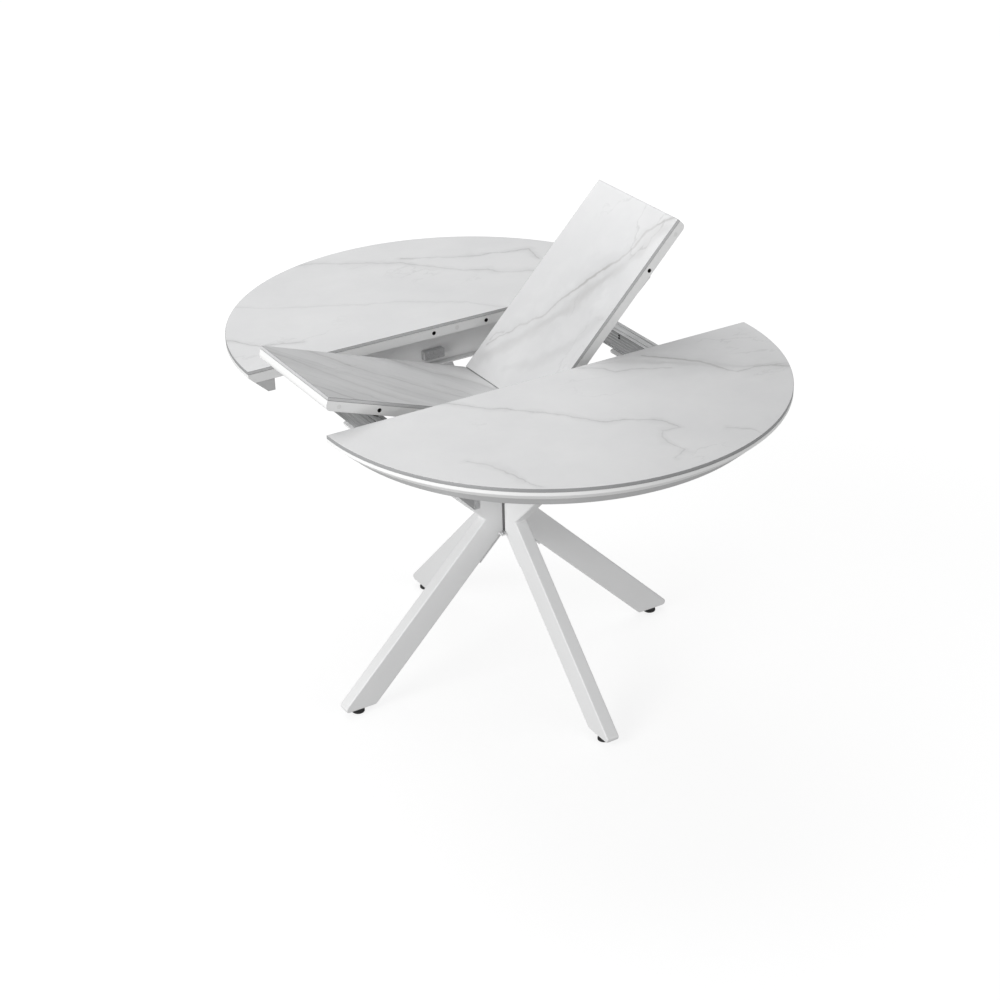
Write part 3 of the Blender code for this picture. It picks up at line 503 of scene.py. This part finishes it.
# ---------------------------------------------------------------- half tops
ARRIS = 0.0008                      # the slab's eased edge, in the rim's darker tone of painted shade
ARRIS_SLOT = 2
RIM_HEIGHT = STONE_HIGH - 0.0145    # where the board's upright rim turns inwards
SKIRT_SLOPE = 1.08                  # how far the bevel and skirt run in for each unit down
SKIRT_LIP = 0.016
BOARD_ARRIS = 0.0004
SKIRT_ARRIS = 0.0005
DOWEL_Z = (BOARD_LOW + BOARD_HIGH) / 2
DOWEL_HOLE = 0.0044
BORE_START = 0.010                  # how far outside the edge a hole's cutter starts
BORE_DEPTH = 0.014
DOWEL_BORE_DEPTH = 0.0123           # of a hole that holds a dowel
BORE_LIMIT = 0.016                  # no face further in than this belongs to a hole
BORE_MARGIN = 1.1                   # of the hole's radius, to tell its faces from the board's
NEAR_DOWEL_X = (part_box("near_dowel_right")[0].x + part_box("near_dowel_right")[1].x) / 2
FAR_HOLE_X = 0.065
EDGE_CAP_PROUD = 0.0003             # how far a cap stands out of its edge
EDGE_CAP_ARRIS = 0.0003
FAR_CAP_X = -0.008


def rim_radius(height):
    """Radius of the bevel and the skirt at a height under the rim."""
    return TOP_RADIUS - SKIRT_SLOPE * (RIM_HEIGHT - height)


def bore(x, y, height, reach, way):
    """Cutter for a dowel hole that starts outside the edge at y."""
    return turned("bore", [(0, DOWEL_HOLE), (BORE_START + reach, DOWEL_HOLE)],
                  (x, y - way * BORE_START, height), (0, way, 0), 32)


def drilled(board, paint, edge_y, holes):
    """Cut (x, y, depth, way) dowel holes and paint their bare insides near black as painted shade."""
    carve(board, [bore(x, y, DOWEL_Z, depth, way) for x, y, depth, way in holes])
    board.data.materials.append(paint)
    board.data.materials.append(BORE_SHADE)
    near = BORE_MARGIN * DOWEL_HOLE
    for polygon in board.data.polygons:
        beside = min(abs(polygon.center.x - hole[0]) for hole in holes) < near
        level = abs(polygon.center.z - DOWEL_Z) < near
        inside = 1e-4 < min(abs(polygon.center.y - y) for y in edge_y) < BORE_LIMIT
        polygon.material_index = 1 if beside and level and inside else 0


def half_top(body, split, sign, hole_x, hole_depth):
    """Slab, board with its bevel and dowel holes, and skirt of one half."""
    slab = half_disc(body + "_slab", [(TOP_RADIUS, STONE_HIGH), (TOP_RADIUS, STONE_LOW)],
                     split, sign)
    edge_material(slab, HALF_STONE, SLAB_EDGE)
    soften(slab, ARRIS, edge_slot=ARRIS_SLOT)
    finished(slab, body, "sintered_stone", None, body + "_stone")
    board = half_disc(body + "_panel", [
        (TOP_RADIUS, BOARD_HIGH), (TOP_RADIUS, RIM_HEIGHT),
        (rim_radius(BOARD_LOW), BOARD_LOW)], split, sign)
    drilled(board, LACQUER, (split,), [(x, split, hole_depth, sign) for x in (-hole_x, hole_x)])
    soften(board, BOARD_ARRIS)
    finished(board, body, "white_lacquer", LACQUER, body + "_board")
    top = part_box(body + "_apron")[1].z
    lip = rim_radius(SKIRT_LOW)
    profile = [(rim_radius(top), top), (lip, SKIRT_LOW), (lip - SKIRT_LIP, SKIRT_LOW),
               (lip - SKIRT_LIP, top)]
    skirt = half_ring(body + "_skirt", profile, split, sign)
    soften(skirt, SKIRT_ARRIS)
    # the skirt gets the lacquer darkened as painted shade
    finished(skirt, body, "white_lacquer", SKIRT_SHADED_LACQUER, body + "_apron")


half_top(NEAR, NEAR_SPLIT, -1, NEAR_DOWEL_X, DOWEL_BORE_DEPTH)
half_top(FAR, FAR_SPLIT, 1, FAR_HOLE_X, BORE_DEPTH)


def edge_cap(name, body, x, edge_y, radius, length):
    """Faint round plastic cap in the middle of an upright edge."""
    cap = turned(name, [(0, radius), (length, radius)],
                 (x, edge_y - EDGE_CAP_PROUD, DOWEL_Z), (0, 1, 0), 40)
    soften(cap, EDGE_CAP_ARRIS)
    finished(cap, body, "white_plastic", WHITE_PLASTIC)


edge_cap("far_edge_cap", FAR, FAR_CAP_X, FAR_SPLIT, 0.0050, 0.0016)

# ---------------------------------------------------------------- leaf
FOLD_EDGE = 0.0023                  # from the fold to each panel's inner edge
END_ROUNDING = 0.011
PANEL_ARRIS = 0.0006
CAP_FROM_FOLD = 0.472


def panel(body, side, direction, face):
    """One leaf panel, drawn on the flat table and then taken to where it stands."""
    inner, outer = direction * FOLD_EDGE, direction * TOP_RADIUS
    low, high = min(inner, outer), max(inner, outer)
    slab = block(f"leaf_slab_{side}", (low, -HALF_LEAF, STONE_LOW),
                 (high, HALF_LEAF, STONE_HIGH))
    edge_material(slab, face, SLAB_EDGE)
    soften(slab, ARRIS, edge_slot=ARRIS_SLOT)
    finished(slab, body, "sintered_stone", None, f"leaf_stone_{side}")
    # the board's outer end is rounded off underneath
    turn_x, turn_z = TOP_RADIUS - END_ROUNDING, BOARD_LOW + END_ROUNDING
    loop = [(FOLD_EDGE, BOARD_LOW), (FOLD_EDGE, BOARD_HIGH), (TOP_RADIUS, BOARD_HIGH)]
    loop += [(turn_x + END_ROUNDING * cos(a), turn_z + END_ROUNDING * sin(a))
             for a in (-pi * i / 20 for i in range(11))]
    board = prism(f"leaf_panel_{side}", [(direction * x, z) for x, z in loop],
                  -HALF_LEAF, HALF_LEAF, "xzy")
    drilled(board, EDGE_BAND, (-HALF_LEAF, HALF_LEAF),
            [(direction * NEAR_DOWEL_X, -HALF_LEAF, BORE_DEPTH, 1),
             (direction * FAR_HOLE_X, HALF_LEAF, DOWEL_BORE_DEPTH, -1)])
    soften(board, PANEL_ARRIS)
    finished(board, body, "white_lacquer", EDGE_BAND, f"leaf_board_{side}")
    edge_cap(f"leaf_edge_cap_{side}", body, direction * CAP_FROM_FOLD, -HALF_LEAF, 0.0048, 0.0014)


panel(LEFT, "left", -1, LEFT_STONE)
panel(RIGHT, "right", 1, RIGHT_STONE)


# ---------------------------------------------------------------- legs
ELBOW_HEIGHT = 0.382
ELBOW_RADIUS = 0.062
TUBE_DEPTH = 0.060
TUBE_CORNER = 0.0032
FOOT_ROUNDING = 0.008
HUB_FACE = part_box("lower_leg_right")[0].x
FOOT_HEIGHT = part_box("lower_leg_right")[0].z
HALF_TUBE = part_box("lower_leg_right")[1].y
ARM_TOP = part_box("upper_arm_right")[1].z
ARM_PLATE = 0.004
PLATE_LOW, PLATE_HIGH = 0.300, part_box("upper_arm_right")[1].x
PLATE_CORNER = 0.010
PLATE_ARRIS = 0.0006
HALF_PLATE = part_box("upper_arm_right")[1].y


def arc(x, y, radius, start, end, steps):
    """Points on a circle round (x, y), from one angle to another."""
    return [(x + radius * cos(start + (end - start) * i / steps),
             y + radius * sin(start + (end - start) * i / steps)) for i in range(steps + 1)]


def leg_side_view():
    """Bent leg seen from the side, in distance from the hub line and height."""
    slant = TUBE_DEPTH / sin(pi / 4)
    outer_sum = ELBOW_RADIUS + ELBOW_HEIGHT
    inner_sum = outer_sum - slant
    arm_end = ARM_TOP - ARM_PLATE
    inner_line = ELBOW_HEIGHT - ELBOW_RADIUS + slant
    reach = ELBOW_RADIUS + arm_end - ELBOW_HEIGHT
    inner_x = inner_sum - FOOT_HEIGHT + FOOT_ROUNDING * tan(pi / 8)
    outer_x = outer_sum - FOOT_HEIGHT - FOOT_ROUNDING * tan(3 * pi / 8)
    centre = FOOT_HEIGHT + FOOT_ROUNDING
    loop = [(HUB_FACE, inner_sum - HUB_FACE)]
    loop += arc(inner_x, centre, FOOT_ROUNDING, 5 * pi / 4, 3 * pi / 2, 6)
    loop += arc(outer_x, centre, FOOT_ROUNDING, -pi / 2, pi / 4, 12)
    loop += [(ELBOW_RADIUS, ELBOW_HEIGHT), (reach, arm_end), (arm_end - inner_line, arm_end),
             (HUB_FACE, inner_line + HUB_FACE)]
    return loop


def arm_plate_outline():
    """Plate on top of an arm, seen from above, with rounded corners."""
    inner, outer = PLATE_LOW + PLATE_CORNER, PLATE_HIGH - PLATE_CORNER
    wide = HALF_PLATE - PLATE_CORNER
    outline = []
    for i, (x, y) in enumerate(((outer, wide), (inner, wide), (inner, -wide), (outer, -wide))):
        outline += arc(x, y, PLATE_CORNER, i * pi / 2, (i + 1) * pi / 2, 6)
    return outline


for name, angle in (("right", 0.0), ("far", pi / 2), ("left", pi), ("near", -pi / 2)):
    turn = Matrix.Rotation(angle, 4, "Z")
    tube = prism("leg_" + name, leg_side_view(), -HALF_TUBE, HALF_TUBE, "xzy")
    tube.data.transform(turn)
    soften(tube, TUBE_CORNER, 4, 60.0)
    finished(tube, BASE, "white_powder_coat", POWDER, "lower_leg_" + name, "upper_arm_" + name)
    plate = prism("arm_plate_" + name, arm_plate_outline(), ARM_TOP - ARM_PLATE, ARM_TOP)
    plate.data.transform(turn)
    soften(plate, PLATE_ARRIS)
    finished(plate, BASE, "white_powder_coat", POWDER)

# ---------------------------------------------------------------- hub brackets
BRACKET_SHEET = 0.0030
BRACKET_REACH = 0.078
BRACKET_WIDTH = 0.028
BRACKET_ARRIS = 0.0004
CORNER_REACH = 0.030
CORNER_SHEET = 0.0025
TOUCH = 0.0003                      # gap between pieces that touch
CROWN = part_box("hub_post")[0].z - TOUCH - ELBOW_HEIGHT
# a strap's sloping faces: distance out plus height above the elbow
STRAP_LINE = ELBOW_RADIUS - (TUBE_DEPTH + TOUCH) / sin(pi / 4)
UNDER_LINE = STRAP_LINE - BRACKET_SHEET / sin(pi / 4)


def hub_bracket(label, way):
    """Two crossed bent straps and a corner plate, under or over the elbow."""
    end = BRACKET_REACH - BRACKET_SHEET * sin(pi / 4)
    right_half = [(STRAP_LINE - CROWN, CROWN), (BRACKET_REACH, STRAP_LINE - BRACKET_REACH),
                  (end, UNDER_LINE - end),
                  (UNDER_LINE - CROWN + BRACKET_SHEET, CROWN - BRACKET_SHEET)]
    loop = right_half + [(-x, z) for x, z in reversed(right_half)]
    loop = [(x, ELBOW_HEIGHT + way * z) for x, z in loop]
    half = BRACKET_WIDTH / 2
    plate_z = sorted(ELBOW_HEIGHT + way * (CROWN - BRACKET_SHEET / 2 + step * CORNER_SHEET / 2)
                     for step in (-1, 1))
    notch = HALF_TUBE + TOUCH
    quarter = [(CORNER_REACH, notch), (CORNER_REACH, CORNER_REACH), (notch, CORNER_REACH)]
    outline = []
    for i in range(4):
        turn = Matrix.Rotation(i * pi / 2, 2)
        outline += [tuple(turn @ Vector(point)) for point in quarter]
    pieces = [prism(f"hub_strap_{label}_x", loop, -half, half, "xzy"),
              prism(f"hub_strap_{label}_y", loop, -half, half, "yzx"),
              prism(f"hub_plate_{label}", outline, *plate_z)]
    for piece, replaced in zip(pieces, (("hub_bracket_" + label,), (), ())):
        soften(piece, BRACKET_ARRIS)
        finished(piece, BASE, "white_powder_coat", POWDER, *replaced)


hub_bracket("lower", 1)
hub_bracket("upper", -1)

# ---------------------------------------------------------------- rails and runners
RAIL_LOW, RAIL_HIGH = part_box("rail_right")
RAIL_WALL = 0.003
SLOT_WIDTH = (RAIL_HIGH.x - RAIL_LOW.x - 3 * RAIL_WALL) / 2
GROOVES = 5
GROOVE_DEPTH = 0.0010
GROOVE_HALF_BOTTOM, GROOVE_HALF_TOP = 0.0010, 0.0016
LIP_REACH = 0.140                   # half the length of the lips over the slots
LIP_END = 0.006
LIP_THICKNESS, LIP_PROUD = 0.0013, 0.0001
SLIT = 0.0006
CUT_PAST = 0.01                     # how far a cutter runs past the surface it cuts
RAIL_ARRIS, LIP_ARRIS, LEDGE_ARRIS = 0.0003, 0.0002, 0.0005
LEDGE_REACH = 0.195
LEDGE_WIDTH, LEDGE_HEIGHT = 0.0035, 0.0028
RAIL_SCREW_Y = 0.027
RAIL_SCREW_HEIGHTS = (0.7092, 0.7030)
RAIL_SCREW_PROFILE = [(-0.0010, 0.0016), (0.0008, 0.0026), (0.0012, 0.0021), (0.0014, 0.0008)]
RUNNER_DROP = 0.0018                # a runner's inner end lies this far under the rail's top
RUNNER_STEP = 0.180
RUNNER_STEP_RISE = 0.006
RUNNER_ARRIS = 0.0005


def rail_profile():
    """Right half of the rail's section, with fine grooves down its side."""
    half, high = (RAIL_HIGH.x - RAIL_LOW.x) / 2, RAIL_HIGH.z - RAIL_LOW.z
    rib = RAIL_WALL / 2
    side = [(half, high)]
    pitch = high / (GROOVES + 1)
    for i in range(GROOVES):
        z = high - (i + 1) * pitch
        side += [(half, z + GROOVE_HALF_TOP), (half - GROOVE_DEPTH, z + GROOVE_HALF_BOTTOM),
                 (half - GROOVE_DEPTH, z - GROOVE_HALF_BOTTOM), (half, z - GROOVE_HALF_TOP)]
    side.append((half, 0))
    return [(rib, high), (rib, RAIL_WALL), (rib + SLOT_WIDTH, RAIL_WALL),
            (rib + SLOT_WIDTH, high)] + side


for side in ("left", "right"):
    low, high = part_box("rail_" + side)
    centre = (low.x + high.x) / 2
    section = rail_profile()
    section += [(-x, z) for x, z in reversed(section)]
    section = [(centre + x, low.z + z) for x, z in section]
    rail = prism("slide_rail_" + side, section, low.y, high.y, "xzy")
    soften(rail, RAIL_ARRIS, 1)
    finished(rail, BASE, "anodised_aluminium", ALUMINIUM, "rail_" + side)
    # narrow lips over the slots in the open middle of the rail
    cover = block("rail_lips_" + side, (low.x, -LIP_REACH, high.z - LIP_THICKNESS),
                  (high.x, LIP_REACH, high.z + LIP_PROUD))
    slot_x = (RAIL_WALL + SLOT_WIDTH) / 2
    slit_end = LIP_REACH - LIP_END
    carve(cover, [block("slit", (x - SLIT, -slit_end, high.z - CUT_PAST),
                        (x + SLIT, slit_end, high.z + CUT_PAST))
                  for x in (centre - slot_x, centre + slot_x)])
    soften(cover, LIP_ARRIS, 1)
    finished(cover, BASE, "anodised_aluminium", ALUMINIUM)
    inward = -1 if side == "right" else 1
    face = low.x if side == "right" else high.x
    edges = sorted((face, face + inward * LEDGE_WIDTH))
    ledge = block("rail_ledge_" + side, (edges[0], -LEDGE_REACH, low.z),
                  (edges[1], LEDGE_REACH, low.z + LEDGE_HEIGHT))
    soften(ledge, LEDGE_ARRIS)
    finished(ledge, BASE, "anodised_aluminium", ALUMINIUM)
    for number, z in enumerate(RAIL_SCREW_HEIGHTS, 1):
        head = turned(f"rail_screw_{side}_{number}", RAIL_SCREW_PROFILE,
                      (face, RAIL_SCREW_Y, z), (inward, 0, 0), 24)
        soften(head, 0.0)
        finished(head, BASE, "blackened_steel", BLACK_METAL)

for node in ("near_runner_left", "near_runner_right", "far_runner_left", "far_runner_right"):
    low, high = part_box(node)
    sign = -1 if node.startswith("near") else 1
    inner, outer = (high.y, low.y) if sign < 0 else (low.y, high.y)
    step = sign * RUNNER_STEP
    shelf = RAIL_HIGH.z - RUNNER_DROP
    loop = [(inner, low.z), (outer, low.z), (outer, high.z), (step, high.z),
            (step, shelf + RUNNER_STEP_RISE), (step - sign * RUNNER_STEP_RISE, shelf),
            (inner, shelf)]
    runner = prism(node + "_bar", loop, low.x, high.x, "yzx")
    soften(runner, RUNNER_ARRIS)
    finished(runner, body_of[node], "anodised_aluminium", ALUMINIUM, node)


# ---------------------------------------------------------------- round pieces
ROUND_ARRIS, PIN_ARRIS, BOLT_ARRIS, SCREW_ARRIS = 0.0003, 0.0002, 0.0002, 0.00015


def middle(node):
    """Centre of a CAD node's box."""
    low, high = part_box(node)
    return (low + high) / 2


def replace_round(node, profile, start, way, material, steps=48, edge=ROUND_ARRIS):
    """A turned piece in a CAD node's place, already where the node stands."""
    piece = turned(node + "_turned", profile, start, way, steps)
    soften(piece, edge)
    piece.data.materials.append(material)
    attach(piece, body_of[node])
    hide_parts(node)


def replace_pin(node, radius, tip_radius, chamfer, material, steps):
    """A pin along Y with chamfered ends."""
    low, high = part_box(node)
    centre, length = middle(node), high.y - low.y
    replace_round(node, [(0, tip_radius), (chamfer, radius), (length - chamfer, radius),
                         (length, tip_radius)],
                  (centre.x, low.y, centre.z), (0, 1, 0), material, steps, PIN_ARRIS)


GLIDE_PROFILE = [(0, 0.0126), (0.0012, 0.0140), (0.0048, 0.0140), (0.0062, 0.0114),
                 (0.0117, 0.0105)]
for name in ("right", "far", "left", "near"):
    centre = middle("glide_" + name)
    replace_round("glide_" + name, GLIDE_PROFILE, (centre.x, centre.y, 0), (0, 0, 1),
                  BLACK_PLASTIC)
for node in ("near_dowel_left", "near_dowel_right", "leaf_dowel_left", "leaf_dowel_right"):
    replace_pin(node, 0.0040, 0.0030, 0.0010, BEECH, 36)
replace_pin("pivot_rod", 0.0040, 0.0032, 0.0008, STEEL, 40)

BOLT_FROM_CENTRE = 0.052
BOLT_PROFILE = [(-0.0035, 0.0050), (-0.0030, 0.0059), (-0.0003, 0.0059), (-0.0003, 0.0030),
                (0.0114, 0.0030)]
SOCKET_PROFILE = [(-0.0100, 0.0030), (-0.0012, 0.0030)]
SCREW_PROFILE = [(0, 0.0042), (0.0012, 0.0042), (0.0022, 0.0036), (0.0029, 0.0016)]
CROSS_REACH, CROSS_HALF_WIDTH, CROSS_FLOOR = 0.0023, 0.00045, 0.0015
for number in range(1, 5):
    turn = Matrix.Rotation((number - 1) * pi / 2, 3, "Z")
    way = turn @ Vector((1, 0, 1)).normalized()
    start = turn @ Vector((BOLT_FROM_CENTRE, 0, ELBOW_HEIGHT + UNDER_LINE - BOLT_FROM_CENTRE))
    bolt = turned(f"socket_bolt_{number}", BOLT_PROFILE, start, way, 36)
    carve(bolt, [turned("hexagon", SOCKET_PROFILE, start, way, 6)])
    soften(bolt, BOLT_ARRIS)
    finished(bolt, BASE, "blackened_steel", BLACK_METAL, f"hub_bolt_{number}")
    centre = middle(f"hub_screw_{number}")
    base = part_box(f"hub_screw_{number}")[0].z
    screw = turned(f"pan_screw_{number}", SCREW_PROFILE, (centre.x, centre.y, base),
                   (0, 0, 1), 36)
    carve(screw, [block("cross", (centre.x - a, centre.y - b, base + CROSS_FLOOR),
                        (centre.x + a, centre.y + b, base + CUT_PAST))
                  for a, b in ((CROSS_REACH, CROSS_HALF_WIDTH), (CROSS_HALF_WIDTH, CROSS_REACH))])
    soften(screw, SCREW_ARRIS, 1)
    finished(screw, BASE, "zinc_steel", STEEL, f"hub_screw_{number}")

# ---------------------------------------------------------------- carried CAD nodes
# Rounding of edges by the start of a node's name
PLAIN_EDGE = 0.0004
EDGE_WIDTH = {"beam": 0.0009, "bearer": 0.0012, "leaf_catch": 0.0010,
              "hinge": 0.0, "slide_pad": 0.0006, "hub_post": 0.0008, "leaf_foot": 0.0015}
for node, thing in nodes.items():
    thing.data.materials.clear()
    # the hub post takes the dark grey of painted shade instead of its slot's finish
    paint = POST_SHADE_PAINT if node == "hub_post" else SLOT_MATERIAL[slot_of[node]]
    thing.data.materials.append(paint)
    width = next((size for start, size in EDGE_WIDTH.items() if node.startswith(start)),
                 PLAIN_EDGE)
    soften(thing, width, 2, 30.0, True)

# ---------------------------------------------------------------- stage, light, camera
FLOOR_REACH = 400.0                 # far enough for the floor to meet the backdrop unseen
FLOOR_DROP = 0.0004                 # just under the feet, so that no faces coincide
FLOOR_GREY = 0.24
GLOW_NEAR, GLOW_FAR = (0.9, 0.80), (3.0, 0.92)      # distance, then strength
WORLD_LIGHT = 0.35
floor_finish = Finish("studio_floor", 0.9, Emission_Color=(1, 1, 1, 1))
floor_finish.colour((FLOOR_GREY, FLOOR_GREY, FLOOR_GREY))
# the floor glows less near the table, which leaves a soft shade under it
away = floor_finish.vector("LENGTH", floor_finish.place, out="Value")
glow = floor_finish.ramp(away, GLOW_NEAR[0], GLOW_FAR[0], GLOW_NEAR[1], GLOW_FAR[1], True)
floor_finish.join(glow, floor_finish.shader.inputs["Emission Strength"])
floor = shape("floor", [(x * FLOOR_REACH, y * FLOOR_REACH, 0)
                        for x, y in ((-1, -1), (1, -1), (1, 1), (-1, 1))], [[0, 1, 2, 3]])
floor.location.z = -FLOOR_DROP
floor.data.materials.append(floor_finish.material)
floor.visible_diffuse = False
floor.visible_glossy = False

world = bpy.data.worlds.new("studio")
bpy.context.scene.world = world
world.use_nodes = True
# the camera sees a white backdrop, while the pieces are lit by a dimmer one
sky = world.node_tree
lighting, backdrop = sky.nodes["Background"], sky.nodes.new("ShaderNodeBackground")
for background, strength in ((lighting, WORLD_LIGHT), (backdrop, 1.0)):
    background.inputs[0].default_value = (1.0, 1.0, 1.0, 1.0)
    background.inputs[1].default_value = strength
rays, chosen = sky.nodes.new("ShaderNodeLightPath"), sky.nodes.new("ShaderNodeMixShader")
sky.links.new(rays.outputs["Is Camera Ray"], chosen.inputs[0])
sky.links.new(lighting.outputs[0], chosen.inputs[1])
sky.links.new(backdrop.outputs[0], chosen.inputs[2])
sky.links.new(chosen.outputs[0], sky.nodes["World Output"].inputs[0])


def softbox(name, position, target, size, power):
    """Rectangular lamp, power in watts, turned towards a point."""
    lamp = bpy.data.lights.new(name, "AREA")
    lamp.shape = "RECTANGLE"
    lamp.size, lamp.size_y = size
    lamp.energy = power
    thing = bpy.data.objects.new(name, lamp)
    thing.location = position
    thing.rotation_euler = (Vector(target) - Vector(position)).to_track_quat("-Z", "Y").to_euler()
    bpy.context.scene.collection.objects.link(thing)


softbox("key_left", (-3.4, -0.6, 2.3), (0, 0, 0.7), (2.0, 1.6), 60.0)
softbox("low_left", (-3.0, -1.0, 0.3), (0, 0, 0.5), (2.0, 0.5), 36.0)
softbox("overhead", (0.2, 1.6, 3.4), (0, 0, 0.7), (3.0, 3.0), 58.0)
softbox("front_fill", (1.7, -3.3, 0.7), (0, 0, 0.5), (2.5, 1.2), 31.0)

LENS_MM, SENSOR_MM, LENS_SHIFT = 75.7, 36.0, -0.10
CAMERA_PLACE = (-2.0655, -3.4781, 2.5449)
CAMERA_DOWN, CAMERA_BEARING = 0.4869, 0.5865        # radians, the bearing clockwise from +Y
camera_data = bpy.data.cameras.new("camera")
camera_data.lens = LENS_MM
camera_data.sensor_width = SENSOR_MM
camera_data.shift_x = LENS_SHIFT
camera = bpy.data.objects.new("camera", camera_data)
camera.location = CAMERA_PLACE
camera.rotation_euler = (pi / 2 - CAMERA_DOWN, 0.0, -CAMERA_BEARING)
bpy.context.scene.collection.objects.link(camera)
bpy.context.scene.camera = camera
bpy.context.scene.view_settings.view_transform = "Standard"
